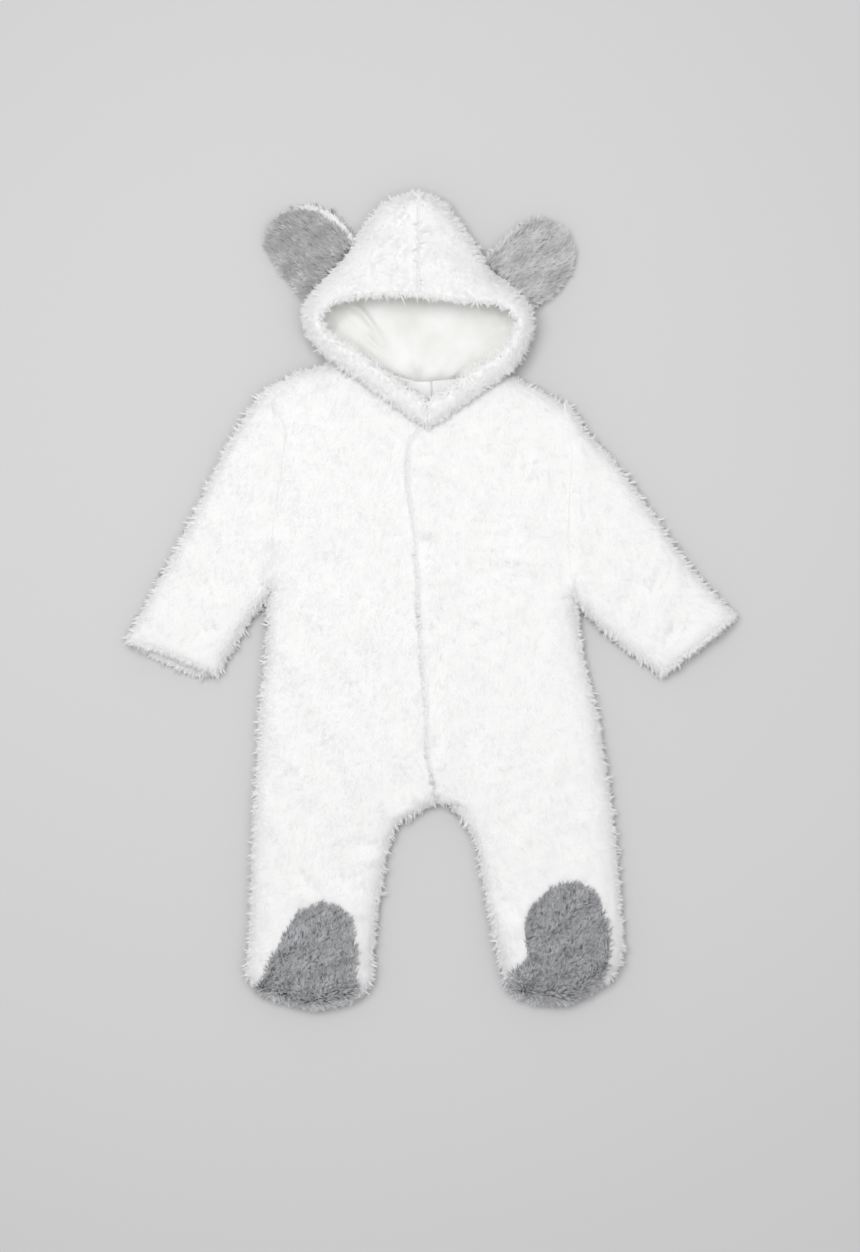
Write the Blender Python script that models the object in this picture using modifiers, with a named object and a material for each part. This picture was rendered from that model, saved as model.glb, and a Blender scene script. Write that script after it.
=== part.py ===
"""Hooded baby sleepsuit in long-pile plush, laid flat on its back with the front up.

The suit is modelled as it is cut and sewn: a back with both legs, two fronts that lap over
each other down the middle, two sleeves, a hood of two sides with a cotton lining, two-layer
ears, and grey tops and soles on the closed feet. Every piece is an open surface worked out
from a short table of sections and given the thickness of its cloth. Pieces that are sewn
together lie 0.3 mm apart at their seam.

The tables are in millimetres and the model is in metres. X runs to the wearer's left, Y runs
up to the hood and Z runs up from the surface the suit lies on. The origin is the middle of
the suit's footprint, on that surface. "right" and "left" are the wearer's.
"""

import math
from collections import namedtuple

import bmesh
import bpy
import numpy as np

MM = 0.001

# Cloth and seams.
PLUSH = 3.0  # knitted backing with the dense foot of its pile
COTTON = 1.2
TAPE = 0.6
GAP = 0.3
LAP = PLUSH + 2 * GAP  # how far one layer lies above the one it covers

# Heights above the surface.
SEAM_Z = 6.0  # side, shoulder and inside-leg seams
CHEST_Z = 20.0
ANKLE_Z = 22.0
TOE_Z = 25.0
CUFF_Z = 17.0

# How far in from a seam the cloth takes to reach its full height.
ROLL = 12.0
LAP_ROLL = 17.0
STRIP = 5.0
EAR_ROLL = 9.0

# Shares of an edge's roll (across) and of the full height (up) where the cloth has its points.
SEAM_EDGE = ((0, 0), (0, 0.4), (0.293, 0.707), (1, 1))
FOLD_EDGE = ((0, 0), (0.293, 0.707), (1, 1))

# One section of a piece, from its outer end to its inner end. A seam share of 1 brings that
# end down to the seam, and 0 leaves it open at the height of the cloth beside it.
Section = namedtuple("Section", "out_x out_y in_x in_y out_seam in_seam top")

# The armholes, from the shoulder to the underarm.
ARMHOLE_RIGHT = ((-150, 193), (-133, 158), (-138, 118), (-146, 68), (-147, 10))
ARMHOLE_LEFT = ((120, 178), (131, 140), (128, 100), (126, 55), (131, 2))

# The tops of the pieces: shoulder seam to the neck point, then the neckline to the middle.
NECK_RIGHT = (-76, 221)
NECK_LEFT = (58, 211.4)
NAPE = (-11.5, 206)
TOP_FRONT_RIGHT = (ARMHOLE_RIGHT[0], (-118, 209), NECK_RIGHT, (-64, 212.5), (-30, 188.3), (2, 165.5))
TOP_FRONT_LEFT = (ARMHOLE_LEFT[0], (93, 195), NECK_LEFT, (47, 203.6), (22, 185.9), (-3.6, 167.8))
TOP_BACK_RIGHT = (ARMHOLE_RIGHT[0], (-118, 209), NECK_RIGHT, (-60, 217.3), NAPE)
TOP_BACK_LEFT = (ARMHOLE_LEFT[0], (93, 195), NECK_LEFT, (44, 210.3), NAPE)
SHOULDER_SEAMS = (0.97, 0.85)  # seam share of each line's second point and of its neck point

# Outer ends: armhole, underarm, side seam, crotch level, leg and foot, with the seam share.
SIDE_RIGHT = (
    (-150, 193, 0),
    (-133, 158, 0),
    (-138, 118, 0),
    (-146, 68, 0),
    (-146.8, 22, 0),
    (-146.9, 13.5, 0.293),
    (-147, 10, 0.8),
    (-147, 10, 1),
    (-147.5, -46, 1),
    (-155, -99, 1),
    (-156.5, -150, 1),
    (-157.5, -165, 1),
    (-158.5, -175, 1),
    (-159.3, -185, 1),
    (-160, -195, 1),
    (-160.5, -205, 1),
    (-161, -216, 1),
    (-161.3, -230, 1),
    (-161.7, -264, 1),
    (-163.5, -305, 1),
    (-165, -325, 1),
    (-166, -343, 1),
)
SIDE_LEFT = (
    (120, 178, 0),
    (131, 140, 0),
    (128, 100, 0),
    (126, 55, 0),
    (129.9, 13.9, 0),
    (130.7, 5.5, 0.293),
    (131, 2, 0.8),
    (131, 2, 1),
    (135, -50, 1),
    (149.4, -99, 1),
    (156.5, -150, 1),
    (159, -165, 1),
    (160.7, -175, 1),
    (162.3, -185, 1),
    (163.8, -195, 1),
    (165, -205, 1),
    (166, -215, 1),
    (167, -228, 1),
    (170, -262, 1),
    (173, -303, 1),
    (173.5, -319, 1),
    (171, -335, 1),
)
# Inner ends above the crotch: under-lap of the right front, edge of the left front that laps
# over it, and the middle of the back, with the seam share that closes the crotch.
MIDDLE = (
    # under_x, under_y, over_x, over_y, back_x, back_y, seam
    (2, 165.5, -3.6, 167.8, -11.5, 206, 0),
    (-3, 142, -20, 144, -10, 160, 0),
    (-4.5, 116, -21, 112, -9, 118, 0),
    (1, 70, -15, 66, -7, 68, 0),
    (5, 24, -11, 22, -6, 22, 0),
    (5.5, 14, -10.5, 12, -5.5, 13, 0),
    (6, 7, -10.3, 5, -5, 7, 0),
    (6, 0, -10.2, -2, -4.5, 1, 0),
    (8, -50, -8, -50, -3, -48, 0),
    (12.5, -97, -3.5, -97, 0, -99, 0),
    (12, -146, -1.5, -148, 3, -150, 0),
    (4.6, -171, 5.4, -171, 5, -171, 0),
    (4.6, -178, 5.4, -178, 5, -178, 0.134),
    (4.6, -181.5, 5.4, -181.5, 5, -181.5, 0.5),
    (4.6, -183, 5.4, -183, 5, -183, 0.93),
)
# Inner ends below the crotch, down the inside-leg seams.
INLEG_RIGHT = ((-10, -191.5), (-33, -201), (-43, -222), (-48, -252), (-56, -300), (-58, -325), (-58, -350))
INLEG_LEFT = ((20, -184.5), (33, -201), (46.5, -222), (51, -255), (59.5, -298), (66, -326), (75, -357))
# Full height of the front at each of those sections.
TORSO_SECTIONS = len(MIDDLE)
LEG_TOPS = (CHEST_Z, CHEST_Z, CHEST_Z, CHEST_Z, ANKLE_Z, TOE_Z, TOE_Z)
# The toe seams, from the outer side to the inner side.
TOE_RIGHT = (
    (-166, -343), (-160, -359), (-131, -368.5), (-106, -375), (-82, -369), (-66, -362), (-58, -350),
)
TOE_LEFT = ((171, -335), (166, -345), (151, -356), (129, -367.5), (111, -370.5), (91, -366.5), (75, -357))

# Sleeves, from the armhole to the cuff: outer fold, underarm seam, height.
SLEEVE_RIGHT = (
    (-150, 193, -147, 10, CHEST_Z),
    (-168, 172, -153, 3, CHEST_Z),
    (-192, 131, -161, -5, 19),
    (-213, 86, -170, -17, 18),
    (-237, 40, -179, -32, 18),
    (-260, -1, -189, -49, 17.5),
    (-279.8, -36, -198, -66, CUFF_Z),
)
SLEEVE_LEFT = (
    (120, 178, 131, 2, CHEST_Z),
    (140, 154, 140, -5, CHEST_Z),
    (166, 130, 150, -14, 19),
    (190, 98, 163, -27, 18),
    (213, 64, 178, -41, 18),
    (244, 20, 195, -53, 17.5),
    (279.8, -13, 213, -67, CUFF_Z),
)
CUFF_FRONT_RIGHT = ((-279.8, -36), (-247, -45.5), (-226.5, -53.5), (-206, -62), (-198, -66))
CUFF_BACK_RIGHT = ((-279.8, -36), (-249.5, -52.5), (-231, -62), (-210, -67.5), (-198, -66))
CUFF_FRONT_LEFT = ((279.8, -13), (265.6, -24.5), (254, -35), (236, -47), (213, -67))
CUFF_BACK_LEFT = ((279.8, -13), (266, -27), (254, -37.5), (236, -49.5), (213, -67))

# Hood sides, from the middle front up the band and round the opening to the crown.
# fold: the outer edge seen from above. brim: the free edge, or the crown seam above it.
# seam: the neck seam, or the middle of the back of the hood above the nape.
HoodSection = namedtuple(
    "HoodSection", "fold_x fold_y fold_z brim_x brim_y brim_z seam_x seam_y seam_z"
)
HOOD_RIGHT = (
    HoodSection(-5.5, 163, 30, -5.5, 180, 37, -5.5, 170.8, 24),
    HoodSection(-37.5, 186.2, 28, -29.4, 197.6, 37, -34, 191.1, 20.8),
    HoodSection(-67.5, 207.6, 28, -59.4, 219, 38, -64, 212.9, 20.8),
    HoodSection(-85, 220.5, 27, -76, 231.5, 39, -76.3, 221.8, 15),
    HoodSection(-97, 230, 24, -89.5, 239, 39, -64, 218.7, 0),
    HoodSection(-108, 242.5, 22, -99, 248, 40, -57, 217.1, 0),
    HoodSection(-114, 254, 20, -104.5, 256, 40, -50, 215.5, 0),
    HoodSection(-114.8, 266, 18, -103, 264, 41, -42, 213.6, 0),
    HoodSection(-111, 279, 14.5, -92, 274.5, 41, -34, 211.8, 0),
    HoodSection(-101, 292.5, 13.5, -76, 280, 42, -26, 209.9, 0),
    HoodSection(-88, 308, 13, -46, 282.5, 43, -18, 208, 0),
    HoodSection(-72.5, 327, 13, -11.5, 282, 43, -11.5, 206.5, 0),
    HoodSection(-64, 342, 13, -11.5, 306, 41, -11.5, 250, 0),
    HoodSection(-52, 356, 13, -11.5, 332, 36, -11.5, 300, 0),
    HoodSection(-40, 366.5, 13, -11.5, 374.4, 30, -11.5, 374.4, 0),
)
HOOD_LEFT = (
    HoodSection(-1.5, 162, 30, -1.5, 180, 37, -1.5, 169.3, 24.3),
    HoodSection(29.5, 183.9, 29, 21.4, 195.3, 37, 26, 188.8, 23.8),
    HoodSection(50.5, 198.7, 28, 42.4, 210.1, 38, 47, 204, 20.8),
    HoodSection(67, 209, 27, 58.5, 220, 39, 58.3, 212.2, 15),
    HoodSection(77, 221, 24, 69.5, 229, 39, 47, 211, 0),
    HoodSection(85, 233.5, 22, 77, 239.5, 40, 41, 210.5, 0),
    HoodSection(89.7, 246, 20, 81, 249, 40, 34, 210, 0),
    HoodSection(91.5, 259, 18, 81, 260, 41, 27, 209.4, 0),
    HoodSection(88, 272.5, 14.5, 71, 270, 41, 20, 208.9, 0),
    HoodSection(78, 284.5, 13.5, 56, 275.5, 42, 10, 208.1, 0),
    HoodSection(65, 297, 13, 30, 276.5, 43, 0, 207.3, 0),
    HoodSection(50.5, 309.5, 13, -11.5, 282, 43, -11.5, 206.5, 0),
    HoodSection(41, 327, 13, -11.5, 306, 41, -11.5, 250, 0),
    HoodSection(28.5, 343.5, 13, -11.5, 332, 36, -11.5, 300, 0),
    HoodSection(16, 358, 13, -11.5, 374.4, 30, -11.5, 374.4, 0),
)
CROWN_RIGHT = ((-40, 366.5), (-24, 373.4), (-11.5, 374.4))
CROWN_LEFT = ((16, 358), (8, 366.5), (0, 372.8), (-11.5, 374.4))
CROWN_SHARES = (0, 0.2, 0.65, 1)  # where the points of a section lie between fold and brim
BAND_SECTIONS = 3  # of each side, the sections of the folded band below the lining
CROWN_GAP = 0.45  # from the crown seam to either side's cloth
BRIM_TURN = 8.0  # the plush turned in round the opening, which the lining stops short of

# Ears, from the base to the tip: one side, the other side, height of the ear's middle layer.
EAR_RIGHT = (
    (-111.8, 279.6, -73.3, 327.6, 10.5),
    (-127, 297, -86, 341, 8),
    (-141, 314, -98, 351, 6.5),
    (-149, 329, -106, 355.5, 5.7),
    (-147, 344, -119, 358.8, 5.7),
)
EAR_RIGHT_BASE = ((-111.8, 279.6), (-101.8, 293.1), (-88.8, 308.6), (-73.3, 327.6))
EAR_RIGHT_TIP = ((-147, 344), (-137, 354.5), (-119, 358.8))
# The white back of that ear shows past the grey front along its upper edge.
EAR_RIGHT_BACK = (
    (-111.8, 279.6, -71.3, 330.8, 10.5),
    (-127, 297, -80, 346, 8),
    (-141, 314, -92, 357.5, 6.5),
    (-149, 329, -103, 362.5, 5.7),
    (-147, 344, -118, 364.5, 5.7),
)
EAR_RIGHT_BACK_BASE = ((-111.8, 279.6), (-101.8, 293.1), (-88.8, 308.6), (-71.3, 330.8))
EAR_RIGHT_BACK_TIP = ((-147, 344), (-136, 357), (-118, 364.5))
EAR_LEFT = (
    (51.3, 310.3, 88.8, 273.2, 10.5),
    (65, 326, 104, 281.5, 8),
    (75, 336.5, 117, 293, 6.5),
    (86, 345.5, 126, 308, 5.7),
    (100, 351, 129, 323.5, 5.7),
)
EAR_LEFT_BASE = ((51.3, 310.3), (65.8, 297.8), (78.8, 285.3), (88.8, 273.2))
EAR_LEFT_TIP = ((100, 351), (119, 343.5), (129, 323.5))
EAR_HALF = 5.5  # from the ear's middle layer to either face
EAR_PLUSH = 2.4

# Grey foot tops, cut out of the fronts, and soles, cut out of the back.
FOOT_TOP_RIGHT = (
    (-159, -356), (-140, -318), (-123, -289), (-101, -280.5), (-86, -285),
    (-74, -296), (-69.5, -325), (-69, -400), (-160, -400),
)
FOOT_TOP_LEFT = (
    (74, -352), (77, -344), (87, -336), (89, -324), (86, -304), (90, -288), (111, -267),
    (134, -261.5), (151, -271), (160, -293), (164.5, -315), (163, -335), (154, -354),
    (150, -400), (78, -400),
)
SOLE_RIGHT = (
    (-153, -400), (-153, -345), (-146, -318), (-128, -300), (-108, -296), (-88, -301),
    (-74, -316), (-69, -340), (-69, -400),
)
SOLE_LEFT = (
    (80, -400), (80, -340), (91, -312), (110, -297), (135, -296), (153, -309),
    (158, -332), (155, -400),
)

# The label at the nape: a wide tab with a narrower one below it.
LABEL = ((-24, 203.5), (1, 203.5), (1, 184), (-13, 184), (-13, 195), (-24, 195))

# Broad hollows and swellings of the laid cloth: from, to, how wide, how deep (swelling < 0).
Hollow = namedtuple("Hollow", "x0 y0 x1 y1 wide deep")
HOLLOWS = (
    Hollow(42, 67, 115, 56, 16, 2.0),
    Hollow(82, 137, 104, 104, 16, 1.5),
    Hollow(-112, 22, -70, 48, 26, 1.5),
    Hollow(-60, -75, -58, -130, 20, 1.5),
    Hollow(-73, -222, -48, -226, 16, 1.5),
    Hollow(53, -262, 76, -290, 14, 1.5),
    Hollow(-110, 100, -60, 90, 40, -2.0),
    Hollow(70, 95, 95, 20, 34, -2.0),
    Hollow(-105, -60, -105, -150, 40, -1.5),
    Hollow(95, -70, 105, -150, 40, -1.5),
)

WHITE = (0.90, 0.90, 0.89, 1)
GREY = (0.27, 0.28, 0.30, 1)
LINEN = (0.88, 0.89, 0.84, 1)
TAPE_WHITE = (0.95, 0.95, 0.95, 1)


def clear_scene():
    for thing in list(bpy.data.objects):
        bpy.data.objects.remove(thing, do_unlink=True)


def collection(name):
    made = bpy.data.collections.new(name)
    bpy.context.scene.collection.children.link(made)
    return made


def fabric(name, colour, roughness):
    material = bpy.data.materials.new(name)
    material.use_nodes = True
    shader = material.node_tree.nodes["Principled BSDF"]
    shader.inputs["Base Color"].default_value = colour
    shader.inputs["Roughness"].default_value = roughness
    shader.inputs["Metallic"].default_value = 0.0
    return material


def along(line, share):
    """The point at a share of a line's whole length."""
    line = np.array(line, float)
    steps = np.hypot(*np.diff(line, axis=0).T)
    reached = np.concatenate([[0], np.cumsum(steps)])
    at = share * reached[-1]
    return np.array([np.interp(at, reached, line[:, 0]), np.interp(at, reached, line[:, 1])])


def shares_of(line):
    """How far along a line each of its inner points lies, as shares of its length."""
    steps = np.hypot(*np.diff(np.array(line, float), axis=0).T)
    return tuple(np.cumsum(steps)[:-1] / steps.sum())


def edge(profile, roll, seam):
    """Steps in from an edge, as (distance, share of full height), for its seam share."""
    last = max(len(profile) - 1, 1)
    return [
        (roll * (seam * across + (1 - seam) * k / last), seam * up + 1 - seam)
        for k, (across, up) in enumerate(profile)
    ]


def sheet(rows, out_edge, in_edge, middle, first=None, last=None, first_seams=None, last_seams=None):
    """The plan points and height shares of a piece, as two grids with a row for each section.

    rows holds (out point, in point, out seam, in seam, out roll, in roll). out_edge and in_edge
    are the profiles at the two ends, and middle gives the points between as shares of a row.
    first and last are lines that the end rows follow. first_seams and last_seams give the seam
    share of each point along such an end, which then rolls down to its seam over ROLL.
    """
    plan, share = [], []
    for k, (out, into, out_seam, in_seam, out_roll, in_roll) in enumerate(rows):
        line = (first if k == 0 else last if k == len(rows) - 1 else None) or (out, into)
        length = np.hypot(*np.diff(np.array(line, float), axis=0).T).sum()
        steps = edge(out_edge, out_roll, out_seam)
        steps += [(length * m, 1) for m in middle]
        steps += [(length - d, q) for d, q in reversed(edge(in_edge, in_roll, in_seam))]
        plan.append([along(line, d / length) for d, q in steps])
        share.append([q for d, q in steps])
    plan, share = np.array(plan), np.array(share)
    if first_seams is not None:
        plan, share = rolled_end(plan, share, out_edge, first_seams)
    if last_seams is not None:
        plan, share = rolled_end(plan[::-1], share[::-1], out_edge, last_seams)
        plan, share = plan[::-1], share[::-1]
    return plan, share


def rolled_end(plan, share, profile, seams):
    """Replaces a piece's first row with the rows of an edge that rolls down to its seam."""
    inward = plan[1] - plan[0]
    inward /= np.hypot(*inward.T)[:, None]
    steps = np.array([edge(profile, ROLL, seam) for seam in seams])
    rows = plan[0] + inward * steps.transpose(1, 0, 2)[:, :, :1]
    shares = np.minimum(share[0], steps[:, :, 1].T)
    return np.concatenate([rows, plan[1:]]), np.concatenate([shares, share[1:]])


def hollowed(plan):
    """How far the laid cloth lies below its plain height at each point."""
    depth = np.zeros(plan.shape[:2])
    for h in HOLLOWS:
        start, run = np.array([h.x0, h.y0]), np.array([h.x1 - h.x0, h.y1 - h.y0])
        t = ((plan - start) @ run / (run @ run)).clip(0, 1)
        away = plan - start - t[:, :, None] * run
        depth += h.deep * np.exp(-((np.hypot(away[:, :, 0], away[:, :, 1]) / h.wide) ** 2))
    return depth


def surface(grids, weld=0.01):
    """A bmesh of grids of points in millimetres, each given as (points, True if it faces up)."""
    mesh = bmesh.new()
    for points, up in grids:
        verts = [[mesh.verts.new(p * MM) for p in row] for row in points]
        faces = []
        for upper, lower in zip(verts, verts[1:]):
            for k in range(len(upper) - 1):
                faces.append(mesh.faces.new((upper[k], lower[k], lower[k + 1], upper[k + 1])))
        lift = sum(face.calc_area() * face_normal(face).z for face in faces)
        if (lift > 0) != up:
            bmesh.ops.reverse_faces(mesh, faces=faces)
    bmesh.ops.remove_doubles(mesh, verts=mesh.verts, dist=weld * MM)
    bmesh.ops.dissolve_degenerate(mesh, dist=weld * MM, edges=mesh.edges)
    return mesh


def face_normal(face):
    face.normal_update()
    return face.normal


def cloth(name, mesh, material, thickness=PLUSH, inset=0.0):
    """A named piece of cloth: its outer surface, and a wall inwards from it."""
    data = bpy.data.meshes.new(name)
    mesh.to_mesh(data)
    mesh.free()
    piece = bpy.data.objects.new(name, data)
    SUIT.objects.link(piece)
    data.materials.append(material.copy())
    data.materials[0].name = name + "_cloth"
    if inset:
        sink = piece.modifiers.new("Sink", "DISPLACE")
        sink.mid_level = 0.0
        sink.strength = -inset * MM
    wall = piece.modifiers.new("Wall", "SOLIDIFY")
    wall.thickness = thickness * MM
    wall.offset = -1.0
    return piece


def with_heights(plan, heights):
    return np.dstack([plan, heights])


def panel_rows(side, middle, inleg, lap_roll):
    """The sections of a front, or of half the back, from the shoulder to the toe."""
    inner = [(x, y, seam) for x, y, seam in middle] + [(x, y, 1) for x, y in inleg]
    rows = []
    for k, ((ox, oy, out_seam), (ix, iy, in_seam)) in enumerate(zip(side, inner)):
        torso = k < TORSO_SECTIONS - 4
        rows.append(((ox, oy), (ix, iy), out_seam, in_seam, ROLL, lap_roll if torso else ROLL))
    return rows


def top_seams(top_line):
    """Seam share of each point of a top edge: sewn at the shoulder, open at the neck."""
    sewn = [1] * len(SEAM_EDGE) + list(SHOULDER_SEAMS)
    return sewn + [0] * (len(top_line) + 2 * len(SEAM_EDGE) - 2 - len(sewn))


def front(name, side, middle, inleg, top_line, toe_line, over, material):
    """A front with its leg. over is how far its edge lies above the other front's."""
    rows = panel_rows(side, middle, inleg, LAP_ROLL if over else ROLL)
    plan, share = sheet(
        rows, SEAM_EDGE, SEAM_EDGE, shares_of(top_line), top_line, toe_line,
        top_seams(top_line), [1] * (2 * len(SEAM_EDGE) + len(top_line) - 2),
    )
    roll_rows = len(SEAM_EDGE) - 1
    tops = [CHEST_Z] * (TORSO_SECTIONS + roll_rows) + list(LEG_TOPS) + [TOE_Z] * roll_rows
    full = np.array(tops)[:, None] - hollowed(plan)
    lap_columns = len(SEAM_EDGE)
    full[:, -lap_columns:] = np.array(tops)[:, None]
    rows_on_lap = [1.0] * (TORSO_SECTIONS + roll_rows - 3) + [0.5, 0.2]
    lapped = np.array(rows_on_lap + [0.0] * (len(tops) - len(rows_on_lap)))
    full[:, -lap_columns:] += over * lapped[:, None]
    rim = SEAM_Z + GAP / 2
    points = with_heights(plan, rim + (full - rim) * share)
    return cloth(name, surface([(points, True)]), material)


def back_half(side, inleg, top_line, toe_line):
    middle = [(row[4], row[5], row[6]) for row in MIDDLE]
    plan, share = sheet(
        panel_rows(side, middle, inleg, ROLL), SEAM_EDGE, SEAM_EDGE, shares_of(top_line),
        top_line, toe_line, top_seams(top_line), [1] * (2 * len(SEAM_EDGE) + len(top_line) - 2),
    )
    rim = SEAM_Z - GAP / 2
    return with_heights(plan, rim - rim * share)


def sleeve(name, table, armhole, cuff_front, cuff_back, material):
    """A sleeve: a flattened tube, open at the armhole and at the cuff."""
    away = math.copysign(GAP + 0.1, table[0][0])
    start = [(x + away, y) for x, y in armhole]
    rows = [((ox, oy), (ix, iy), 1, 1, ROLL, ROLL) for ox, oy, ix, iy, top in table]
    tops = np.array([row[4] for row in table], float)[:, None]
    middle = shares_of(armhole)
    upper, share = sheet(rows, FOLD_EDGE, FOLD_EDGE, middle, start, cuff_front)
    lower, _ = sheet(rows, FOLD_EDGE, FOLD_EDGE, middle, start, cuff_back)
    # A narrow strip square to the armhole, so that the sleeve's edge lies flat against it.
    run = np.gradient(upper[0], axis=0)
    strip = np.stack([-run[:, 1], run[:, 0]], 1) / np.hypot(*run.T)[:, None]
    strip *= math.copysign(STRIP, away) * np.sign(strip[3, 0])
    upper = np.insert(upper, 1, upper[0] + strip, axis=0)
    lower = np.insert(lower, 1, lower[0] + strip, axis=0)
    share = np.insert(share, 1, share[0], axis=0)
    tops = np.insert(tops, 1, tops[0], axis=0)
    full = tops - hollowed(upper)
    top = with_heights(upper, SEAM_Z + (full - SEAM_Z) * share)
    bottom = with_heights(lower, SEAM_Z - SEAM_Z * share)
    return cloth(name, surface([(top, True), (bottom, False)]), material)


def hood_section(fold, far, fold_z, far_z, roll, steps):
    """One line of the hood's surface, rising or falling from its fold over a given roll."""
    length = math.dist(fold, far)
    points = []
    for step in steps:
        up = math.sqrt(1 - (1 - min(step / roll, 1)) ** 2)
        at = np.array(fold) + (np.array(far) - fold) * step / length
        points.append((at[0], at[1], fold_z + (far_z - fold_z) * up))
    return points


def hood_side(table, crown_line, turn=0.0):
    """The outer surface of half the hood, in two grids that meet at its fold and crown."""
    over, under = [], []
    for h in table:
        fold, brim, seam = (h.fold_x, h.fold_y), (h.brim_x, h.brim_y), (h.seam_x, h.seam_y)
        width, reach = math.dist(fold, brim), math.dist(fold, seam)
        tuck = min(ROLL, 0.7 * reach)
        steps = [width * share for share in CROWN_SHARES]
        over.append(hood_section(fold, brim, h.fold_z, h.brim_z, 0.8 * width, steps))
        if turn and h.brim_x != NAPE[0]:
            short = max(0.1 * width, min(turn, 0.5 * width - 7)) / (steps[3] - steps[2])
            inner, brim = np.array(over[-1][2:])
            over[-1][3] = tuple(brim + (inner - brim) * short)
        steps = (0, 0.293 * tuck, tuck, reach)
        under.append(hood_section(fold, seam, h.fold_z, h.seam_z, tuck, steps))
    crown = [(*along(crown_line, share), table[-1].fold_z) for share in CROWN_SHARES]
    return [closed_crown(np.array(grid), np.array(crown)) for grid in (over, under)]


def closed_crown(grid, crown):
    """Ends one face of the hood in the rows that roll round to the crown."""
    inward = grid[-2] - crown
    inward[:, 2] = 0
    inward /= np.maximum(np.hypot(inward[:, 0], inward[:, 1]), 1e-6)[:, None]
    rows = []
    for across, up in FOLD_EDGE[:0:-1]:
        row = crown + inward * ROLL * across
        row[:, 2] += (grid[-1, :, 2] - crown[:, 2]) * up
        rows.append(row)
    return np.concatenate([grid[:-1], rows, [crown]])


def hood(name, table, crown_line, material):
    over, under = hood_side(table, crown_line)
    clear = math.copysign(CROWN_GAP, table[3].fold_x - NAPE[0])
    for grid in (over, under):
        grid[np.abs(grid[:, :, 0] - NAPE[0]) < 0.01, 0] += clear
    return cloth(name, surface([(over, True), (under, False)]), material)


def hood_lining(material):
    grids = []
    for table, crown_line in ((HOOD_RIGHT, CROWN_RIGHT), (HOOD_LEFT, CROWN_LEFT)):
        over, under = hood_side(table[BAND_SECTIONS:], crown_line, BRIM_TURN)
        grids += [(over, True), (under, False)]
    return cloth("hood_lining", surface(grids), material, COTTON, PLUSH + 2 * GAP)


def ear_face(name, table, base, tip, up, material):
    """One face of an ear, open at its base and sewn round its edge."""
    rows = [((ax, ay), (bx, by), 1, 1, EAR_ROLL, EAR_ROLL) for ax, ay, bx, by, mid in table]
    count = 2 * len(SEAM_EDGE) + 1
    plan, share = sheet(rows, SEAM_EDGE, SEAM_EDGE, (0.5,), base, tip, None, [1] * count)
    mids = [row[4] for row in table] + [table[-1][4]] * (len(SEAM_EDGE) - 1)
    mids = np.array(mids)[:, None]
    side = 1 if up else -1
    rim = mids + side * GAP / 2
    points = with_heights(plan, rim + side * (EAR_HALF - GAP / 2) * share)
    return cloth(name, surface([(points, up)]), material, EAR_PLUSH)


def prism(name, outline, grow, bottom, top):
    """A cutter: an outline moved out by grow and drawn up from bottom to top."""
    ring = np.array(outline, float)
    before, after = np.roll(ring, 1, 0), np.roll(ring, -1, 0)
    turn = np.sign(np.cross(ring - before, after - ring).sum())
    into = (ring - before) / np.hypot(*(ring - before).T)[:, None]
    out_of = (after - ring) / np.hypot(*(after - ring).T)[:, None]
    normals = np.stack([into[:, 1] + out_of[:, 1], -into[:, 0] - out_of[:, 0]], 1) * turn
    normals /= np.hypot(*normals.T)[:, None]
    lean = (normals * np.stack([into[:, 1], -into[:, 0]], 1) * turn).sum(1)
    ring = ring + normals * (grow / lean)[:, None]
    mesh = bmesh.new()
    low = [mesh.verts.new((x * MM, y * MM, bottom * MM)) for x, y in ring]
    face = mesh.faces.new(low)
    raised = bmesh.ops.extrude_face_region(mesh, geom=[face])["geom"]
    lifted = [v for v in raised if isinstance(v, bmesh.types.BMVert)]
    bmesh.ops.translate(mesh, verts=lifted, vec=(0, 0, (top - bottom) * MM))
    bmesh.ops.recalc_face_normals(mesh, faces=mesh.faces)
    data = bpy.data.meshes.new(name)
    mesh.to_mesh(data)
    mesh.free()
    cutter = bpy.data.objects.new(name, data)
    CUTTERS.objects.link(cutter)
    cutter.hide_render = True
    cutter.display_type = "WIRE"
    return cutter


def cut(piece, cutter, operation):
    step = piece.modifiers.new(cutter.name, "BOOLEAN")
    step.operation = operation
    step.solver = "EXACT"
    step.object = cutter


def let_in(host, name, outline, material):
    """Cuts an outline out of a piece, and makes the piece that is sewn in its place."""
    inset = host.copy()
    inset.data = host.data.copy()
    inset.name = name
    inset.data.materials[0] = material.copy()
    inset.data.materials[0].name = name + "_cloth"
    SUIT.objects.link(inset)
    cut(inset, prism(name + "_shape", outline, -GAP / 2, -5, 40), "INTERSECT")
    cut(host, prism(name + "_opening", outline, GAP / 2, -5, 40), "DIFFERENCE")
    return inset


def label(material):
    """The bare label, lying on the inside of the back below the nape seam."""
    mesh = bmesh.new()
    top = (PLUSH + GAP + TAPE) * MM
    mesh.faces.new([mesh.verts.new((x * MM, y * MM, top)) for x, y in reversed(LABEL)])
    return cloth("label", mesh, material, TAPE)


clear_scene()
SUIT = collection("Baby sleepsuit")
CUTTERS = collection("Cutters")
white = fabric("White plush", WHITE, 0.95)
grey = fabric("Grey plush", GREY, 0.95)
cotton = fabric("Lining cotton", LINEN, 0.8)
tape = fabric("Label tape", TAPE_WHITE, 0.6)

front_right = front(
    "front_right", SIDE_RIGHT, [(m[0], m[1], m[6]) for m in MIDDLE], INLEG_RIGHT,
    TOP_FRONT_RIGHT, TOE_RIGHT, 0.0, white,
)
front_left = front(
    "front_left", SIDE_LEFT, [(m[2], m[3], m[6]) for m in MIDDLE], INLEG_LEFT,
    TOP_FRONT_LEFT, TOE_LEFT, LAP, white,
)
halves = [
    (back_half(SIDE_RIGHT, INLEG_RIGHT, TOP_BACK_RIGHT, TOE_RIGHT), False),
    (back_half(SIDE_LEFT, INLEG_LEFT, TOP_BACK_LEFT, TOE_LEFT), False),
]
back = cloth("back", surface(halves), white)

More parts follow.
